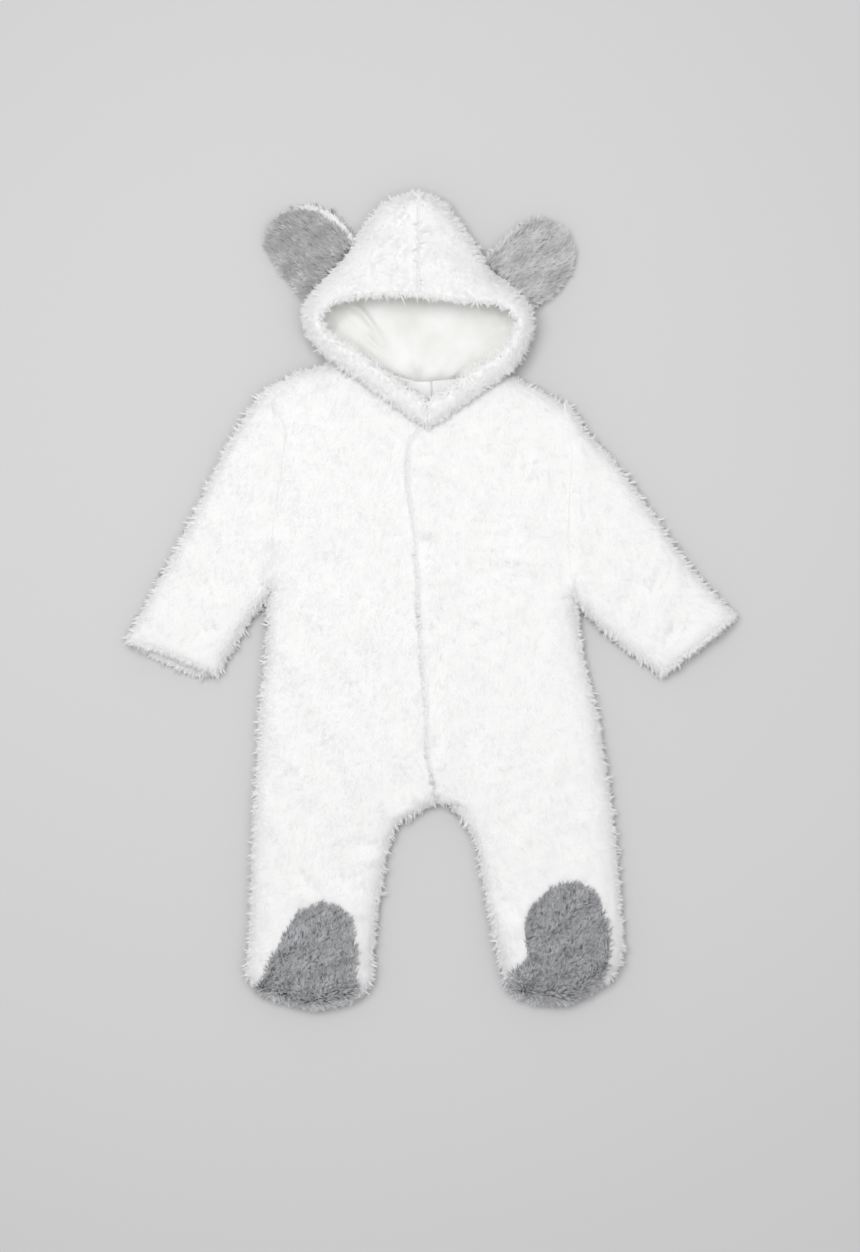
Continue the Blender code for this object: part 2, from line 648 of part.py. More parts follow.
sleeve("sleeve_right", SLEEVE_RIGHT, ARMHOLE_RIGHT, CUFF_FRONT_RIGHT, CUFF_BACK_RIGHT, white)
sleeve("sleeve_left", SLEEVE_LEFT, ARMHOLE_LEFT, CUFF_FRONT_LEFT, CUFF_BACK_LEFT, white)

hood("hood_right", HOOD_RIGHT, CROWN_RIGHT, white)
hood("hood_left", HOOD_LEFT, CROWN_LEFT, white)
hood_lining(cotton)
label(tape)

ear_face("ear_front_right", EAR_RIGHT, EAR_RIGHT_BASE, EAR_RIGHT_TIP, True, grey)
ear_face("ear_back_right", EAR_RIGHT_BACK, EAR_RIGHT_BACK_BASE, EAR_RIGHT_BACK_TIP, False, white)
ear_face("ear_front_left", EAR_LEFT, EAR_LEFT_BASE, EAR_LEFT_TIP, True, grey)
ear_face("ear_back_left", EAR_LEFT, EAR_LEFT_BASE, EAR_LEFT_TIP, False, white)

let_in(front_right, "foot_top_right", FOOT_TOP_RIGHT, grey)
let_in(front_left, "foot_top_left", FOOT_TOP_LEFT, grey)
let_in(back, "sole_right", SOLE_RIGHT, grey)
let_in(back, "sole_left", SOLE_LEFT, grey)
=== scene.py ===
"""The hooded plush sleepsuit laid flat on a pale table and seen from straight above."""

import math
from collections import namedtuple

import bpy
import numpy as np
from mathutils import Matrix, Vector
from mathutils.bvhtree import BVHTree


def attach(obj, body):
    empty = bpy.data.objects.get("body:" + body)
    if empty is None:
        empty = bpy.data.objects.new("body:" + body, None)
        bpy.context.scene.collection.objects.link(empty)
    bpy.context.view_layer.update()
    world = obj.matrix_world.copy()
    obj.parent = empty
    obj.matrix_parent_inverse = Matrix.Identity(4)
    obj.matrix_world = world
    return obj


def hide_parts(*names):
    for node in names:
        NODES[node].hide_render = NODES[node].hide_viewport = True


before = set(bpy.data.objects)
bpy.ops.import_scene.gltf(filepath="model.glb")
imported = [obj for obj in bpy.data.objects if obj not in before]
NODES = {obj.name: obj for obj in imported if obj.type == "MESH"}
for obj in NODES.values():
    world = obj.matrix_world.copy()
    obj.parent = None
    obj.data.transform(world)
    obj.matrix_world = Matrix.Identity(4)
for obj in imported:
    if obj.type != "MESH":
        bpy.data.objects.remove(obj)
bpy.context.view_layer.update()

MM = 0.001
DRAW = np.random.default_rng(62)

# Pile, in millimetres and degrees: how long it is, how wide one lock of fibres is, how many
# locks there are to a square millimetre and to a tuft, how far their roots spread about the
# middle of the tuft, and how much further along the comb than across it, how far their tips
# gather again, how far a lock tilts from upright at its foot and at its tip, how far its tuft
# strays from the way it is combed, how much the combing wanders, how evenly the locks share
# the light, 0 to 1, how much longer the pile is where the cloth turns down at an edge, and
# whether its locks bend halfway or run straight.
Pile = namedtuple(
    "Pile",
    "length width locks tuft spread streak gather foot_tilt tip_tilt stray wander evenness "
    "edge_longer bends",
)
BODY_PILE = Pile(5.4, 0.7, 2.2, 5, 3.0, 1.2, 0.05, 74, 84, 24, 0.7, 0.98, 0.1, False)
HOOD_PILE = Pile(5.8, 0.7, 2.4, 7, 2.0, 1.2, 0.3, 70, 82, 26, 0.9, 0.97, 0.2, False)
EAR_BACK_PILE = Pile(5.0, 0.5, 2.4, 6, 2.0, 1.2, 0.1, 72, 83, 20, 0.6, 0.97, -0.4, False)
FRINGE_PILE = Pile(8.2, 0.65, 0.48, 6, 1.0, 1.0, 0.9, 34, 60, 18, 0.3, 0.98, 0, False)
UNDER_PILE = Pile(6.0, 0.8, 0.5, 6, 2.4, 1.0, 0.3, 66, 82, 25, 1.0, 0.96, 0.2, False)
NAPE_PILE = Pile(3.6, 0.5, 2.4, 8, 1.8, 1.0, 0.1, 72, 84, 30, 1.0, 0.98, 0, False)
FOOT_PILE = Pile(7.4, 0.42, 2.0, 4, 0.8, 1.3, 0.75, 38, 68, 26, 1.1, 0.74, 0.1, True)
EAR_PILE = Pile(9.4, 0.42, 2.1, 4, 0.8, 1.7, 0.8, 52, 76, 12, 0.5, 0.78, -0.35, True)

# The same for every pile. Cloth is wholly an edge where its normal rises no more than the
# first of these, from 0 for a wall to 1 for flat cloth, and not at all beyond the second.
EDGE_RISES = (0.05, 0.8)
# At an edge the tips gather more, the locks are wider, the tufts are of less equal length, and
# the pile falls outward and stands more upright.
EDGE_GATHER, EDGE_WIDER, EDGE_UNEVEN, EDGE_OUTWARD, EDGE_UPRIGHT = 0.75, 1.0, 0.22, 0.9, 0.48
# How deep a root lies in the cloth, how much a tuft and a lock differ in length and a lock in
# width, how far along it a lock bends, what share of the gathering is done there, and how wide
# it still is there.
ROOT_DEPTH = 0.6
TUFT_LENGTHS, LOCK_LENGTHS, LOCK_WIDTHS = (0.82, 1.12), (0.75, 1.1), (0.75, 1.25)
BENDS_AT, BEND_GATHERED, BEND_WIDTH = 0.48, 0.4, 0.9
# How much the tilts differ, in degrees, how far a lock drifts sideways, how unevenly its flat
# side is turned, and how much the pile is lit from the sky where it doesn't face down.
TILT_SPREAD, DRIFT, TWIST, SKYWARD = 3, 0.2, 0.25, 1.6
# No lock reaches lower than this above the table, and its own limit is up to so much higher.
LOWEST, LOWEST_SPREAD = 0.25, 0.5
# How light the pile is, 0 to 1, with the pieces that differ, and how much that changes over
# the cloth, from tuft to tuft and from lock to lock. At a rim the pile is painted lighter and
# its roots paler: painted light, against the shade that falls on a steep edge.
PLAIN_TONE = 0.42
# The two ears differ by painted shade: one is painted darker and the other lighter, for how the
# light falls on their tilt.
TONES = {"ear_front_right_pile": 0.22, "ear_front_left_pile": 0.6, "foot_top_right_pile": 0.5}
CLOTH_TONES, TUFT_TONES, LOCK_TONES, RIM_PAINTED_LIGHT, RIM_ROOTS_PAINTED_LIGHT = 0.22, 0.2, 0.13, 0.3, 0.4
# Where a root and a tip are on the map of a lock, and half of how wide the lock is there.
MAP_ROOT, MAP_TIP, MAP_HALF_WIDTH = 0.02, 0.98, 0.012

# Creases in the upper layer, in millimetres: the line each follows, how wide it is to either
# side, and how deep it is pressed. A ridge is pressed a negative depth.
Crease = namedtuple("Crease", "line width depth")
CREASES = (
    # The wearer's left side of the chest, below the shoulder and under the arm.
    Crease(((80, 140), (90, 120), (104, 104)), 10, 1.7),
    Crease(((90, 142), (98, 122), (111, 108)), 9, -1.0),
    Crease(((40, 76), (62, 64), (84, 55), (106, 47)), 13, 1.5),
    Crease(((56, 48), (84, 38), (112, 30)), 12, -0.8),
    Crease(((123, 66), (125, 44), (122, 22)), 7, 2.0),
    # The wearer's right side: a dimple, and the shadow line below the hood.
    Crease(((-100, 37), (-82, 33)), 15, 1.7),
    Crease(((-68, 194), (-55, 177), (-33, 165)), 7, 2.2),
    Crease(((-57, -44), (-58, -94)), 8, 2.0),
    # The wearer's right leg.
    Crease(((-26, -164), (-34, -199)), 8, 2.6),
    Crease(((-74, -226), (-42, -227)), 7, 2.2),
    Crease(((-70, -136), (-70, -208)), 16, -1.8),
    Crease(((-122, -249), (-110, -268)), 6, 2.0),
    Crease(((-70, -292), (-61, -311)), 6, 2.0),
    # The wearer's left leg: a fold along its inner side, and the raised band beside it.
    Crease(((53, -262), (66, -275), (77, -292)), 7, 3.0),
    Crease(((60, -282), (70, -310), (74, -342)), 8, -1.8),
    # The hood, where its crown falls forward over the back of the head.
    Crease(((-61, 351), (-24, 345), (12, 333), (36, 315), (64, 298)), 8, 2.8),
    Crease(((-55, 337), (-20, 331), (10, 318), (34, 301)), 9, -1.5),
    # The elbows, and the sleeves above the cuffs.
    Crease(((-232, 22), (-206, 14), (-184, 20)), 11, 1.5),
    Crease(((-218, -32), (-196, -24)), 6, 1.6),
    Crease(((226, 26), (202, 12), (180, 16)), 11, 1.5),
    Crease(((236, -22), (214, -34)), 6, 1.6),
    # The lapped front edge: a second line beside it, and a dip at each hidden press stud.
    Crease(((9, -10), (8, -60), (2, -107)), 4, 1.6),
    Crease(((-5, 38), (-4, 0), (-4, -24)), 9, 1.6),
)
STUDS = ((-5, 135), (-5, 52), (-4, -26), (-2, -137))
STUD_WIDTH, STUD_DEPTH = 8, 2.6
# How many times as deep as stated here the upper layer's creases are pressed.
CREASE_STRENGTH = 1.2
# The same on the underside, pressed up from the table.
BACK_CREASES = (
    Crease(((-70, 150), (-30, 138), (40, 142), (84, 156)), 8, 1.6),
    Crease(((-118, 34), (-60, 22), (-20, 26)), 8, 1.4),
    Crease(((30, 8), (74, -4), (120, 8)), 8, 1.4),
    Crease(((-10, -60), (-8, -120), (4, -160)), 9, 1.8),
    Crease(((-100, -150), (-54, -170), (-20, -166)), 8, 1.5),
    Crease(((30, -168), (70, -176), (110, -158)), 8, 1.5),
    Crease(((-130, -262), (-84, -270)), 7, 1.4),
    Crease(((74, -250), (128, -262)), 7, 1.4),
)
# Folds of the loose lining inside the hood.
LINING_FOLDS = (
    Crease(((-84, 270), (-80, 277), (-66, 270), (-52, 253), (-49, 238), (-49, 221)), 3.2, -3.4),
    Crease(((-92, 252), (-84, 262), (-80, 274)), 4.5, 2.2),
    Crease(((-30, 280), (-30, 262), (-29, 240)), 2.6, -2.4),
    Crease(((-13, 270), (-22, 258), (-28, 246)), 3.0, -1.6),
    Crease(((28, 274), (44, 268), (60, 262), (78, 262)), 3.4, -3.2),
    Crease(((34, 262), (56, 254), (76, 254)), 5.0, 1.8),
    Crease(((58, 262), (70, 248), (72, 228)), 3.0, -2.6),
    Crease(((14, 230), (22, 219), (32, 208)), 2.6, -2.0),
    Crease(((-4, 262), (2, 236), (-2, 216)), 4.5, 1.2),
    Crease(((46, 246), (52, 228), (44, 214)), 4.0, 1.4),
    Crease(((-70, 236), (-62, 222), (-48, 212)), 4.0, 1.3),
)
# The same for the lining, and how far down any point of it may go, clear of the hood below.
FOLD_STRENGTH, FOLD_DEEPEST = 1.7, 1.2

# How deep the pile's dense foot is, less on the lined hood, how far the cloth rises and falls,
# over what size, and how far its own pile holds it above the table.
FOOT_DEPTH, HOOD_FOOT_DEPTH = 0.9, 0.2
LUMPS, LUMP_SIZE = 0.9, 52
PILE_BELOW = 1.4
# The heights, in millimetres, between which the lower layer ends, the upper layer begins, the
# lap over it begins, and the lower part of the lining ends.
LOWER_ENDS, UPPER_BEGINS, LAP_BEGINS, LINING_ENDS = (3.5, 7), (9, 15), (20.8, 22.6), (12, 20)
# The free edge of the left front, which laps over the right one, and how far it is thinned.
LAP_EDGE = (
    (-3.6, 168), (-20, 144), (-21, 112), (-15, 66), (-10.5, 12), (-8, -50), (-3.5, -97),
    (-1.5, -148), (5, -171),
)
LAP_WIDTH, LAP_THINNED = 9, 1.7
# The seams that the pile hides: the crown seam and both armholes, each with the way the pile is
# combed across it. Then how wide a strip is combed so, and how strongly its normals turn up.
HIDDEN_SEAMS = (
    (((-11.5, 362), (-11.5, 302)), (1, -0.7)),
    (((-133, 158), (-138, 118), (-146, 68), (-147, 26)), (-1, -0.5)),
    (((131, 140), (128, 100), (126, 55), (130, 18)), (1, -0.5)),
)
SEAM_WIDTH, SEAM_LEVELLED = 5, 6
# The lining at the nape: where along the suit it ends, its middle, how far it reaches to each
# side, and how far it is carried down. Then how crumpled the lining is, over what size.
NAPE_ENDS, NAPE_MIDDLE, NAPE_REACH, NAPE_CARRIED = (206, 222), -5, 58, 3.5
CRUMPLE, CRUMPLE_SIZE = 0.5, 24
# The label: where its seam is, how far it is lifted there, and how much more over what length.
LABEL_SEAM, LABEL_LIFTED, LABEL_RISE, LABEL_LONG = 203.5, 2.2, 1.6, 20
# How far a face may be turned away and still bear pile, and how far outside it, in
# millimetres, the test of what covers it begins.
TURNED_AWAY, OUTSIDE = -0.35, 0.3
# A fringe grows where the normal rises less than the first, on cloth lower than the second or,
# on the hood, farther up the suit than the third.
FRINGE_RISE, FRINGE_BELOW, HOOD_BEYOND = 0.55, 17, 170


# --- materials ----------------------------------------------------------------------------


def new_material(name, roughness, sheen):
    material = bpy.data.materials.new(name)
    material.use_nodes = True
    shader = material.node_tree.nodes["Principled BSDF"]
    shader.inputs["Roughness"].default_value = roughness
    shader.inputs["Specular IOR Level"].default_value = 0.2
    shader.inputs["Sheen Weight"].default_value = sheen
    shader.inputs["Sheen Roughness"].default_value = 0.5
    shader.inputs["Sheen Tint"].default_value = (1, 1, 1, 1)
    return material, material.node_tree, shader


def node(tree, kind, **settings):
    made = tree.nodes.new(kind)
    for key, value in settings.items():
        if key in made.inputs:
            made.inputs[key].default_value = value
        else:
            setattr(made, key, value)
    return made


def ramp(tree, source, stops):
    made = tree.nodes.new("ShaderNodeValToRGB")
    elements = made.color_ramp.elements
    while len(elements) < len(stops):
        elements.new(0.5)
    for element, (place, colour) in zip(elements, stops):
        element.position = place
        element.color = (*colour, 1)
    tree.links.new(source, made.inputs["Fac"])
    return made.outputs["Color"]


def pile_material(name, root_to_tip, shade):
    """Fibres that change colour from root to tip, and are shaded at the left of their map."""
    material, tree, shader = new_material(name, 0.7, 0.25)
    where = node(tree, "ShaderNodeUVMap", uv_map="OFBake")
    split = node(tree, "ShaderNodeSeparateXYZ")
    tree.links.new(where.outputs["UV"], split.inputs["Vector"])
    along = ramp(tree, split.outputs["Y"], root_to_tip)
    tone = ramp(tree, split.outputs["X"], ((0, (shade,) * 3), (1, (1, 1, 1))))
    mix = node(tree, "ShaderNodeMix", data_type="RGBA", blend_type="MULTIPLY")
    mix.inputs["Factor"].default_value = 1
    tree.links.new(along, mix.inputs["A"])
    tree.links.new(tone, mix.inputs["B"])
    tree.links.new(mix.outputs["Result"], shader.inputs["Base Color"])
    return material


def ground_material(name, dark, light):
    """The knitted ground of the plush, with the dense foot of its pile."""
    material, tree, shader = new_material(name, 0.9, 0.3)
    where = node(tree, "ShaderNodeTexCoord")
    fleck = node(tree, "ShaderNodeTexNoise", Scale=700.0, Detail=3.0)
    cloud = node(tree, "ShaderNodeTexNoise", Scale=45.0, Detail=2.0)
    both = node(tree, "ShaderNodeMath", operation="MULTIPLY")
    for texture in (fleck, cloud):
        tree.links.new(where.outputs["Object"], texture.inputs["Vector"])
    tree.links.new(fleck.outputs["Fac"], both.inputs[0])
    tree.links.new(cloud.outputs["Fac"], both.inputs[1])
    colour = ramp(tree, both.outputs["Value"], ((0.12, dark), (0.4, light)))
    tree.links.new(colour, shader.inputs["Base Color"])
    bump = node(tree, "ShaderNodeBump", Strength=0.5, Distance=0.0006)
    tree.links.new(fleck.outputs["Fac"], bump.inputs["Height"])
    tree.links.new(bump.outputs["Normal"], shader.inputs["Normal"])
    return material


def jersey_material(name, dark, light):
    """Smooth cotton jersey: fine knitted ribs, and a soft crumple, whose hollows are painted
    darker: painted shade.
    """
    material, tree, shader = new_material(name, 0.75, 0.2)
    where = node(tree, "ShaderNodeTexCoord")
    ribs = node(tree, "ShaderNodeTexWave", Scale=320.0, Distortion=1.5, Detail=2.0)
    crumple = node(tree, "ShaderNodeTexNoise", Scale=30.0, Detail=4.0)
    for texture in (ribs, crumple):
        tree.links.new(where.outputs["Object"], texture.inputs["Vector"])
    colour = ramp(tree, crumple.outputs["Fac"], ((0.3, dark), (0.7, light)))
    tree.links.new(colour, shader.inputs["Base Color"])
    fine = node(tree, "ShaderNodeBump", Strength=0.2, Distance=0.0002)
    tree.links.new(ribs.outputs["Fac"], fine.inputs["Height"])
    broad = node(tree, "ShaderNodeBump", Strength=0.35, Distance=0.002)
    tree.links.new(crumple.outputs["Fac"], broad.inputs["Height"])
    tree.links.new(fine.outputs["Normal"], broad.inputs["Normal"])
    tree.links.new(broad.outputs["Normal"], shader.inputs["Normal"])
    return material


white_ground = ground_material("White plush ground", (0.9, 0.9, 0.895), (0.95, 0.95, 0.945))
grey_ground = ground_material("Grey plush ground", (0.14, 0.142, 0.15), (0.26, 0.264, 0.275))
white_pile = pile_material(
    "White plush pile",
    ((0, (0.9, 0.9, 0.899)), (0.5, (0.925, 0.925, 0.924)), (1, (0.94, 0.94, 0.94))),
    0.98,
)
# A lighter copy of the white pile, for the hood, the edge fringe and the nape: painted light
# against the shade on the hood's slopes, the steep edges and the pit of the nape.
lightened_white_pile = pile_material(
    "White hood pile",
    ((0, (0.94, 0.94, 0.939)), (0.5, (0.955, 0.955, 0.954)), (1, (0.965, 0.965, 0.965))),
    0.98,
)
# In the grey piles the dark roots are partly the fur's own colour and partly painted shade, for
# the dark gaps between tufts.
foot_pile = pile_material(
    "Grey foot pile",
    ((0, (0.14, 0.142, 0.15)), (0.5, (0.58, 0.585, 0.61)), (1, (0.94, 0.945, 0.97))),
    0.45,
)
# The soles' pile is paler than the feet's: partly the pale fringe along the toes, partly painted
# light against the shade on the toes' lower rim.
sole_pile = pile_material(
    "Grey sole pile",
    ((0, (0.3, 0.302, 0.31)), (0.5, (0.56, 0.565, 0.58)), (1, (0.8, 0.805, 0.82))),
    0.7,
)
ear_pile = pile_material(
    "Grey ear pile",
    ((0, (0.28, 0.28, 0.284)), (0.5, (0.74, 0.74, 0.75)), (1, (0.99, 0.99, 1.0))),
    0.48,
)
# The lining's darker, greenish tone is painted shade, set in the hollows of its crumple.
lining_cotton = jersey_material("Lining jersey", (0.83, 0.835, 0.8), (0.95, 0.95, 0.945))
# The label darkens a little in the same hollows: painted shade.
label_tape = jersey_material("Label satin", (0.90, 0.90, 0.90), (0.96, 0.96, 0.96))


# --- cloth --------------------------------------------------------------------------------


def only(obj):
    bpy.ops.object.select_all(action="DESELECT")
    obj.select_set(True)
    bpy.context.view_layer.objects.active = obj


def cloth_from(name, node_name, levels=2):
    """A copy of a cut piece, joined into quads and softened, with both its walls."""
    source = NODES[node_name]
    piece = source.copy()
    piece.data = source.data.copy()
    piece.name = piece.data.name = name
    bpy.context.scene.collection.objects.link(piece)
    piece.data.materials.clear()
    only(piece)
    bpy.ops.object.mode_set(mode="EDIT")
    bpy.ops.mesh.select_all(action="SELECT")
    bpy.ops.mesh.remove_doubles(threshold=0.00002)
    widest = math.radians(70)
    bpy.ops.mesh.tris_convert_to_quads(face_threshold=widest, shape_threshold=widest)
    bpy.ops.mesh.select_all(action="DESELECT")
    bpy.ops.mesh.edges_select_sharp(sharpness=math.radians(60))
    bpy.ops.transform.edge_crease(value=1.0)
    bpy.ops.object.mode_set(mode="OBJECT")
    soften = piece.modifiers.new("Soften", "SUBSURF")
    soften.levels = soften.render_levels = levels
    bpy.ops.object.modifier_apply(modifier=soften.name)
    bpy.ops.object.shade_smooth_by_angle(angle=math.radians(55))
    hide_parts(node_name)
    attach(piece, "root")
    return piece


def points_of(piece):
    points = np.empty(len(piece.data.vertices) * 3)
    piece.data.vertices.foreach_get("co", points)
    return points.reshape(-1, 3) / MM


def move_points(piece, points):
    piece.data.vertices.foreach_set("co", (points * MM).ravel())
    piece.data.update()


def smooth_noise(points, size, seed, waves=7, calmed=4, layer=9):
    """Gentle noise over a surface, mostly from -1 to 1, from crossed waves of about that size.

    It differs a little between two layers that lie so many millimetres apart."""
    draw = np.random.default_rng(seed)
    total = np.zeros(len(points))
    for _ in range(waves):
        heading = draw.uniform(0, math.tau)
        length = size * draw.uniform(0.7, 1.6)
        across = points[:, 0] * math.cos(heading) + points[:, 1] * math.sin(heading)
        phase = draw.uniform(0, math.tau)
        total += np.sin(across * math.tau / length + phase + points[:, 2] / layer)
    return total / calmed


def line_distance(points, line):
    """How far each point is from a line through some places, and how far along it, 0 to 1."""
    line = np.array(line, float)
    steps = np.linalg.norm(np.diff(line, axis=0), axis=1)
    passed = np.concatenate([[0], np.cumsum(steps)])
    nearest, where = np.full(len(points), np.inf), np.zeros(len(points))
    for start, run, step, before in zip(line, np.diff(line, axis=0), steps, passed):
        share = ((points[:, :2] - start) @ run / step**2).clip(0, 1)
        away = np.linalg.norm(points[:, :2] - start - share[:, None] * run, axis=1)
        closer = away < nearest
        nearest[closer], where[closer] = away[closer], (before + share * step)[closer] / passed[-1]
    return nearest, where


def pressed(points, creases):
    """How deep some creases press each point, deepest at their middles and soft at their ends."""
    depth = np.zeros(len(points))
    for crease in creases:
        away, where = line_distance(points, crease.line)
        fade = 0.35 + 0.65 * np.sin(math.pi * where.clip(0, 1)) ** 0.7
        depth += crease.depth * fade * np.exp(-((away / crease.width) ** 2))
    return depth


def rising(heights, low, high):
    """0 below the low height and 1 above the high one, smoothly between."""
    share = ((heights - low) / (high - low)).clip(0, 1)
    return share * share * (3 - 2 * share)


# --- pile ---------------------------------------------------------------------------------


def joined_tree(objects):
    """All the given pieces as one shape that rays can be cast against."""
    corners, faces = [], []
    for obj in objects:
        start = len(corners)
        corners += [vertex.co[:] for vertex in obj.data.vertices]
        faces += [[start + corner for corner in face.vertices] for face in obj.data.polygons]
    return BVHTree.FromPolygons(corners, faces)


def open_to(way, clear_of):
    """A test of whether nothing covers a face, looking straight up (1) or down (-1)."""

    def test(centre, normal):
        if normal.z * way < TURNED_AWAY:
            return False
        start = centre + normal * OUTSIDE * MM + Vector((0, 0, way * OUTSIDE * MM))
        return clear_of.ray_cast(start, Vector((0, 0, way)), 1.0)[0] is None

    return test


def outer_triangles(piece, grows_at):
    """Corner points and normals of the faces that bear pile, in millimetres.

    The normals are those of these faces alone, so the walls of a seam don't turn them."""
    mesh = piece.data
    mesh.calc_loop_triangles()
    chosen = np.array([grows_at(face.center, face.normal) for face in mesh.polygons])
    count = len(mesh.loop_triangles)
    corners, owner = np.empty(count * 3, int), np.empty(count, int)
    mesh.loop_triangles.foreach_get("vertices", corners)
    mesh.loop_triangles.foreach_get("polygon_index", owner)
    corners = corners.reshape(-1, 3)[chosen[owner]]
    places = points_of(piece)[corners]
    normals = np.zeros((len(mesh.vertices), 3))
    facing = facings(places)
    for corner in corners.T:
        np.add.at(normals, corner, facing)
    return places, unit(normals[corners])


def unit(vectors):
    """The same directions, each of length 1."""
    return vectors / np.maximum(np.linalg.norm(vectors, axis=-1, keepdims=True), 1e-9)


def dot(a, b):
    return (a * b).sum(-1, keepdims=True)


def facings(corners):
    """A vector square to each triangle, twice as long as the triangle's area."""
    return np.cross(corners[:, 1] - corners[:, 0], corners[:, 2] - corners[:, 0])


def triangle_areas(corners):
    """The area of each triangle, from its three corner points."""
    return np.linalg.norm(facings(corners), axis=1) / 2


def scattered(corners, normals, count):
    """Evenly scattered points over some triangles, with the surface's normal at each."""
    reach = np.cumsum(triangle_areas(corners))
    spots = (np.arange(count) + DRAW.random(count)) * reach[-1] / count
    face = np.searchsorted(reach, spots).clip(0, len(reach) - 1)
    a, b = DRAW.random(count), DRAW.random(count)
    turn = a + b > 1
    a[turn], b[turn] = 1 - a[turn], 1 - b[turn]
    weight = np.stack([1 - a - b, a, b], 1)[:, :, None]
    return (corners[face] * weight).sum(1), unit((normals[face] * weight).sum(1))


def lock_shapes(middle, up, pile, comb):
    """The points of each lock of fibres: two at its foot, two at any bend, one at its tip."""
    # Each row is one tuft: which way it lies, how long it is and how it tilts.
    tufts = len(middle)
    edge = 1 - rising(up[:, 2], *EDGE_RISES)
    outward = (EDGE_OUTWARD * edge)[:, None]
    way = unit(comb(middle)) * (1 - outward) + unit(up * (1, 1, 0)) * outward
    swirl = (smooth_noise(middle, 34, 5) * 0.5 + smooth_noise(middle, 11, 6) * 0.3) * pile.wander
    stray = DRAW.normal(0, math.radians(pile.stray), tufts)
    heading = np.arctan2(way[:, 1], way[:, 0]) + swirl + stray
    flat = np.stack([np.cos(heading), np.sin(heading), np.zeros(tufts)], 1)
    flat = unit(flat - up * dot(flat, up) + 1e-4)
    side = np.cross(up, flat)
    longer = pile.edge_longer + DRAW.normal(0, EDGE_UNEVEN, tufts).clip(-0.5, 1)
    tuft_length = pile.length * DRAW.uniform(*TUFT_LENGTHS, tufts) * (1 + longer * edge)
    tuft_tilt = DRAW.normal(0, TILT_SPREAD, tufts)

    # From here on, each row is one lock, and own is the tuft that it belongs to.
    own = np.repeat(np.arange(tufts), pile.tuft)
    count = len(own)
    angle, far = DRAW.uniform(0, math.tau, count), np.sqrt(DRAW.random(count)) * pile.spread
    far_along = np.cos(angle) * far * pile.streak
    far_across = np.sin(angle) * far / pile.streak
    offset = far_along[:, None] * flat[own] + far_across[:, None] * side[own]
    foot = middle[own] + offset - up[own] * ROOT_DEPTH
    length = tuft_length[own] * DRAW.uniform(*LOCK_LENGTHS, count)
    drift = DRAW.normal(0, DRIFT, count)[:, None] * side[own]
    flatness = (1 - EDGE_UPRIGHT * edge)[own]

    def step(tilt, share):
        tilts = tilt * flatness + tuft_tilt[own] + DRAW.normal(0, TILT_SPREAD, count)
        tilts = np.radians(tilts)[:, None]
        toward = up[own] * np.cos(tilts) + (flat[own] + drift) * np.sin(tilts)
        return unit(toward) * (length * share)[:, None]

    gather = (pile.gather + EDGE_GATHER * edge).clip(0, 0.9)[own][:, None]
    bend = foot + step(pile.foot_tilt, BENDS_AT) - offset * gather * BEND_GATHERED
    tip = bend + step(pile.tip_tilt, 1 - BENDS_AT) - offset * gather * (1 - BEND_GATHERED)

    # The flat side of a lock is turned to the light as far as the way it runs allows.
    lit = up.copy()
    lit[:, 2] += SKYWARD * (up[:, 2] + 1).clip(0, 1)
    lit = unit(lit)[own]
    run = unit(tip - foot)
    across = unit(np.cross(run, lit + DRAW.normal(0, TWIST, (count, 3))))
    across *= np.sign(dot(np.cross(across, run), lit) + 1e-9)
    face = np.cross(across, run)
    wide = pile.width * (1 + EDGE_WIDER * edge)[own]
    across *= (wide * DRAW.uniform(*LOCK_WIDTHS, count))[:, None] / 2
    shape = [foot - across, foot + across, tip]
    if pile.bends:
        shape[2:2] = [bend - across * BEND_WIDTH, bend + across * BEND_WIDTH]
    shape = np.stack(shape, 1)
    lowest = LOWEST + DRAW.random((count, 1)) * LOWEST_SPREAD
    shape[:, :, 2] = np.maximum(shape[:, :, 2], lowest)
    return shape, own, unit(lit * pile.evenness + face * (1 - pile.evenness))


def level_at_seams(middle, up):
    """The pile's normals, turned straight up along the seams that it hides."""
    for line, _ in HIDDEN_SEAMS:
        away, _ = line_distance(middle, line)
        near = np.exp(-((away / SEAM_WIDTH) ** 2)) * rising(up[:, 2], 0, 0.4)
        up = unit(up + near[:, None] * (0, 0, SEAM_LEVELLED))
    return up


